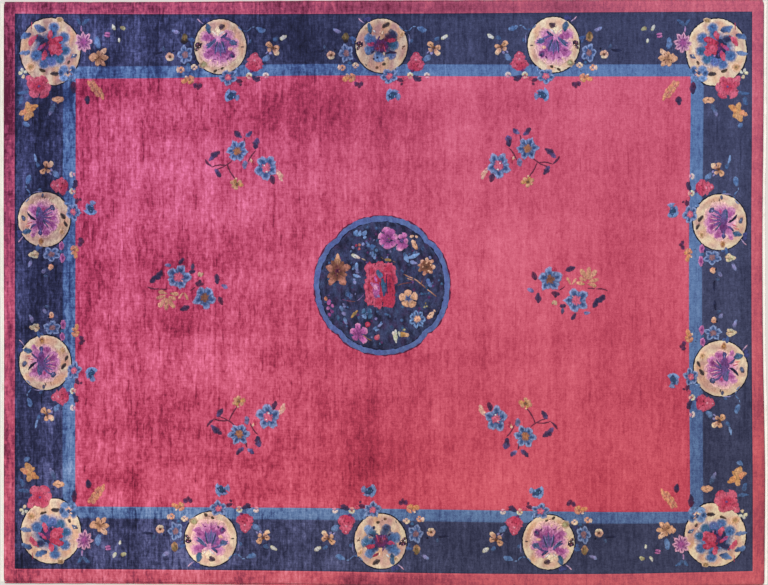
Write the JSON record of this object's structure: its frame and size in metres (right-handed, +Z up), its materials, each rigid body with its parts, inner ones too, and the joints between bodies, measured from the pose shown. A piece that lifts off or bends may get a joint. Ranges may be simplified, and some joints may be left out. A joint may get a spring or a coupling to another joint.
{
  "type": "wool rug",
  "caption": "Large flat wool pile rug, room sized, with a floral field, a roundel border and narrow plain-woven cotton end webs.",
  "frame": {"origin": "under the middle of the rug, on its flat underside", "axes": "+X along the length, +Y across the width, +Z up out of the pile"},
  "size_m": [3.5351, 2.7115, 0.012],
  "materials": {
    "wool_pile": "soft clipped wool pile",
    "cotton_web": "plain weave"
  },
  "bodies": {
    "root": {"carpet": "wool_pile", "end_web_left": "cotton_web", "end_web_right": "cotton_web"}
  },
  "joints": []
}
